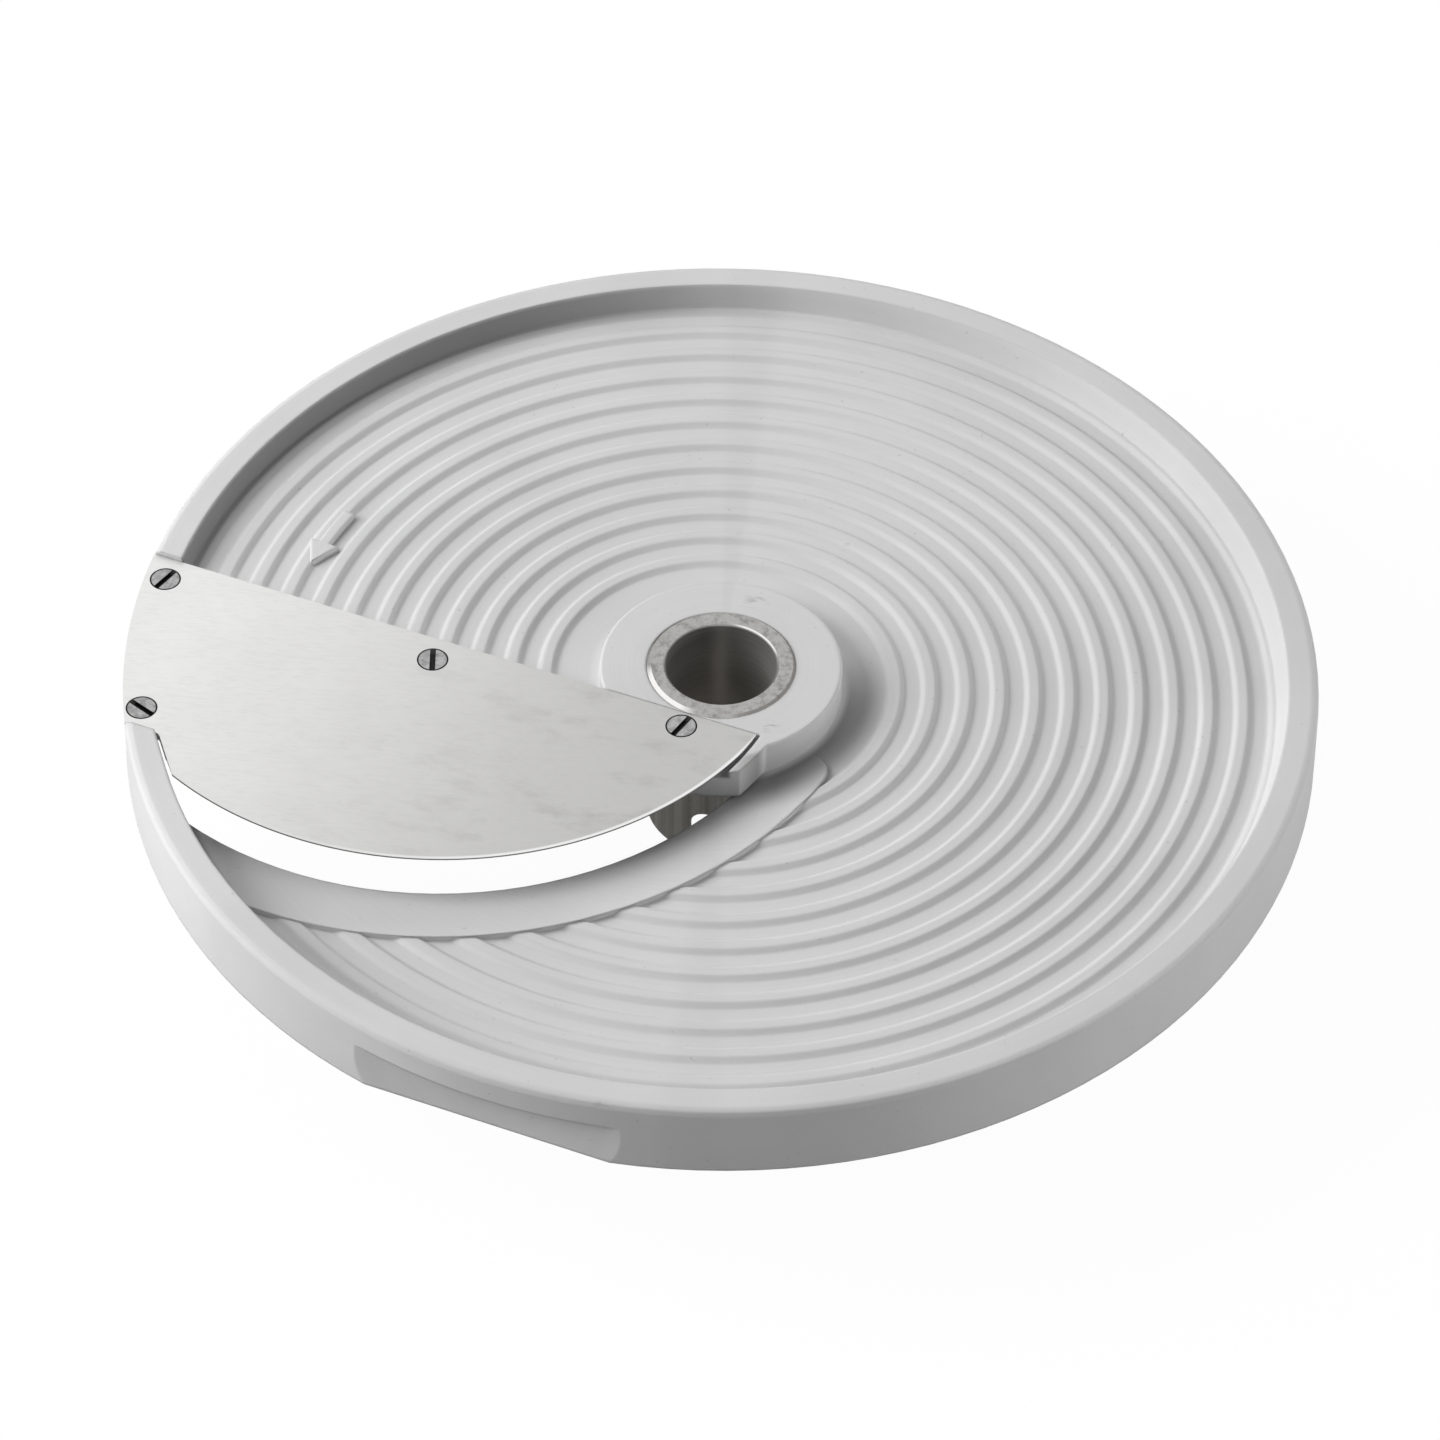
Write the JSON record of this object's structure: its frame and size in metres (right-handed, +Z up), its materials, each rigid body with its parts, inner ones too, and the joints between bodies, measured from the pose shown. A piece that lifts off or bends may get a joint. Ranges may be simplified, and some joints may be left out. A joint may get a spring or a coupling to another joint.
{
  "type": "slicing disc",
  "caption": "Round slicing disc with a spiral ridged face, raised rim, bored steel hub and a screwed-on curved blade over a slot.",
  "frame": {"origin": "on the shaft axis at the hub's lower end, which the part stands on", "axes": "+Z up along the shaft axis to the food side, +X along the blade's straight back edge from rim to hub, -Y from the back edge to the cutting edge"},
  "size_m": [0.2062, 0.2061, 0.035],
  "materials": {
    "casting": "satin light grey cast face",
    "hub_steel": "turned stainless steel",
    "blade_steel": "ground stainless steel with fine grain",
    "screw_steel": "plain steel countersunk heads"
  },
  "bodies": {
    "root": {"disc_body": "casting", "hub_bush": "hub_steel", "slicing_blade": "blade_steel", "blade_screws": "screw_steel"}
  },
  "joints": []
}
